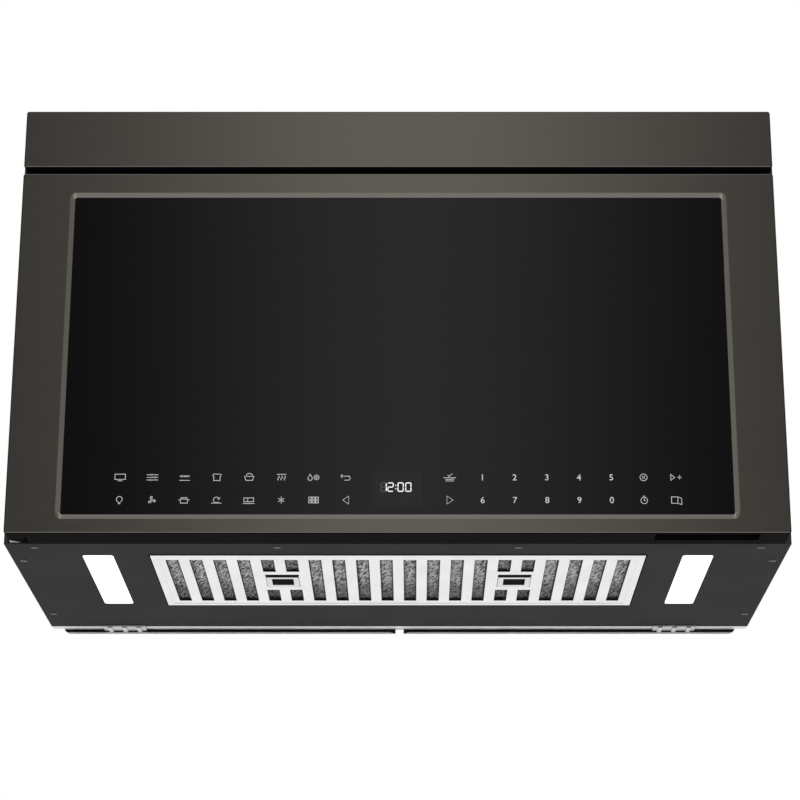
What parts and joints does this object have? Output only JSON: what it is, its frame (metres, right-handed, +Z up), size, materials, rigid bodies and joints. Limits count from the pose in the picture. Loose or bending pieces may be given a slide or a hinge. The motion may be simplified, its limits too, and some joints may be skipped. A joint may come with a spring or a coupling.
{
  "type": "over the range microwave oven",
  "caption": "Wide flush microwave oven for mounting over a cooktop, with a full-width side-hinged glass door, slotted underside grease filter, cooktop lamps and vent blower.",
  "frame": {"origin": "on the wall plane behind the mounting plate, on the cabinet's centreline, level with the cabinet's underside", "axes": "+Y into the wall, so the door faces -Y; +X along the cabinet's width, to the right as seen from the front; +Z up"},
  "size_m": [0.76, 0.386, 0.4684],
  "materials": {
    "bronze_steel": "satin dark bronze paint",
    "black_steel": "satin black paint",
    "charcoal_steel": "satin dark grey paint",
    "galvanised_steel": "galvanised",
    "enamelled_steel": "enamel",
    "bare_steel": "plain",
    "aluminium": "satin",
    "aluminium_mesh": "expanded",
    "black_glass": "polished, opaque",
    "clear_glass": "polished",
    "lamp_glass": "frosted",
    "black_plastic": "fine grain",
    "white_plastic": "smooth",
    "grey_plastic": "smooth",
    "nylon": "smooth",
    "rubber": "matt",
    "circuit_board": "solder mask",
    "carbon": "granular",
    "mica": "plain",
    "heater_sheath": "oxidised",
    "spring_steel": "bright"
  },
  "bodies": {
    "cabinet": {"base_shelf": "galvanised_steel", "blower_housing": "galvanised_steel", "blower_motor": "bare_steel", "bottom_plate": "charcoal_steel", "broil_element": "heater_sheath", "cavity_liner": "enamelled_steel", "charcoal_filter": "carbon", "convection_heater": "heater_sheath", "convection_housing": "galvanised_steel", "convection_motor": "bare_steel", "cooling_fan_shroud": "grey_plastic", "cord_grommet": "rubber", "exhaust_adapter": "galvanised_steel", "front_frame": "black_steel", "hinge_brackets": "bare_steel", "interlock_bracket": "white_plastic", "interlock_switches": "black_plastic", "inverter_supply": "circuit_board", "lamp_boards": "circuit_board", "lamp_lens_left": "lamp_glass", "lamp_lens_right": "lamp_glass", "lamp_trays": "white_plastic", "magnetron": "bare_steel", "mounting_plate": "galvanised_steel", "opener_motor": "grey_plastic", "outer_wrap": "black_steel", "power_board": "circuit_board", "rear_panel": "galvanised_steel", "top_panel": "bronze_steel", "turntable_motor": "bare_steel", "underside_screws": "black_steel", "waveguide": "galvanised_steel", "waveguide_cover": "mica"},
    "door": {"door_skin": "bronze_steel", "door_glass": "black_glass", "door_shell": "black_plastic", "hinge_bushes": "nylon", "door_back": "black_steel", "door_inner_glass": "clear_glass", "door_screen": "black_steel", "touch_board": "circuit_board", "display_module": "black_plastic", "latch_spring": "spring_steel"},
    "latch": {"latch_bar": "grey_plastic"},
    "turntable": {"turntable_tray": "clear_glass", "turntable_coupler": "white_plastic"},
    "roller_carrier": {"roller_ring": "white_plastic"},
    "roller_wheel_1": {"roller_1": "nylon"},
    "roller_wheel_2": {"roller_2": "nylon"},
    "roller_wheel_3": {"roller_3": "nylon"},
    "convection_rotor": {"convection_fan": "bare_steel"},
    "cooling_rotor": {"cooling_fan_blade": "white_plastic"},
    "blower_rotor": {"blower_shaft": "bare_steel", "blower_wheels": "grey_plastic"},
    "damper": {"damper_flap": "galvanised_steel"},
    "plunger": {"opener_plunger": "white_plastic"},
    "filter": {"filter_panel": "aluminium", "filter_mesh": "aluminium_mesh"},
    "filter_latch_l": {"filter_latch_left": "white_plastic"},
    "filter_latch_r": {"filter_latch_right": "white_plastic"}
  },
  "joints": [
    {"name": "door_swing", "type": "hinge", "parent": "cabinet", "child": "door", "pos_m": [-0.366, -0.359, 0], "axis": [0, 0, -1], "range_deg": [0, 100]},
    {"name": "latch_slide", "type": "slide", "parent": "door", "child": "latch", "axis": [0, 0, 1], "range_m": [0, 0.004], "stiffness_N_per_m": 150, "deforming": ["latch_spring"]},
    {"name": "turntable_spin", "type": "hinge", "parent": "cabinet", "child": "turntable", "pos_m": [-0.1125, -0.2012, 0.0993], "axis": [0, 0, 1], "continuous": true},
    {"name": "roller_ring_turn", "type": "hinge", "parent": "cabinet", "child": "roller_carrier", "pos_m": [-0.1125, -0.2012, 0.0993], "axis": [0, 0, 1], "continuous": true},
    {"name": "roller_spin_1", "type": "hinge", "parent": "roller_carrier", "child": "roller_wheel_1", "pos_m": [-0.1125, -0.0952, 0.0993], "axis": [0, 1, 0], "continuous": true},
    {"name": "roller_spin_2", "type": "hinge", "parent": "roller_carrier", "child": "roller_wheel_2", "pos_m": [-0.2043, -0.2542, 0.0993], "axis": [-0.866, -0.5, 0], "continuous": true},
    {"name": "roller_spin_3", "type": "hinge", "parent": "roller_carrier", "child": "roller_wheel_3", "pos_m": [-0.0207, -0.2542, 0.0993], "axis": [0.866, -0.5, 0], "continuous": true},
    {"name": "convection_fan_spin", "type": "hinge", "parent": "cabinet", "child": "convection_rotor", "pos_m": [-0.1125, -0.0552, 0.205], "axis": [0, 1, 0], "continuous": true},
    {"name": "cooling_fan_spin", "type": "hinge", "parent": "cabinet", "child": "cooling_rotor", "pos_m": [0.236, -0.02, 0.262], "axis": [0, 1, 0], "continuous": true},
    {"name": "blower_spin", "type": "hinge", "parent": "cabinet", "child": "blower_rotor", "pos_m": [0, -0.076, 0.384], "axis": [1, 0, 0], "continuous": true},
    {"name": "damper_swing", "type": "hinge", "parent": "cabinet", "child": "damper", "pos_m": [0, -0.0407, 0.4506], "axis": [-1, 0, 0], "range_deg": [0, 75]},
    {"name": "opener_slide", "type": "slide", "parent": "cabinet", "child": "plunger", "axis": [0, -1, 0], "range_m": [0, 0.0075], "stiffness_N_per_m": 200},
    {"name": "filter_swing", "type": "hinge", "parent": "cabinet", "child": "filter", "pos_m": [0, -0.112, -0.0008], "axis": [1, 0, 0], "range_deg": [0, 85]},
    {"name": "filter_latch_left_slide", "type": "slide", "parent": "filter", "child": "filter_latch_l", "axis": [0, -1, 0], "range_m": [0, 0.008], "stiffness_N_per_m": 150},
    {"name": "filter_latch_right_slide", "type": "slide", "parent": "filter", "child": "filter_latch_r", "axis": [0, -1, 0], "range_m": [0, 0.008], "stiffness_N_per_m": 150}
  ],
  "couplings": [
    {"joint": "roller_ring_turn", "follows": "turntable_spin", "ratio": 0.5},
    {"joint": "roller_spin_1", "follows": "turntable_spin", "ratio": -7.5714},
    {"joint": "roller_spin_2", "follows": "turntable_spin", "ratio": -7.5714},
    {"joint": "roller_spin_3", "follows": "turntable_spin", "ratio": -7.5714}
  ]
}
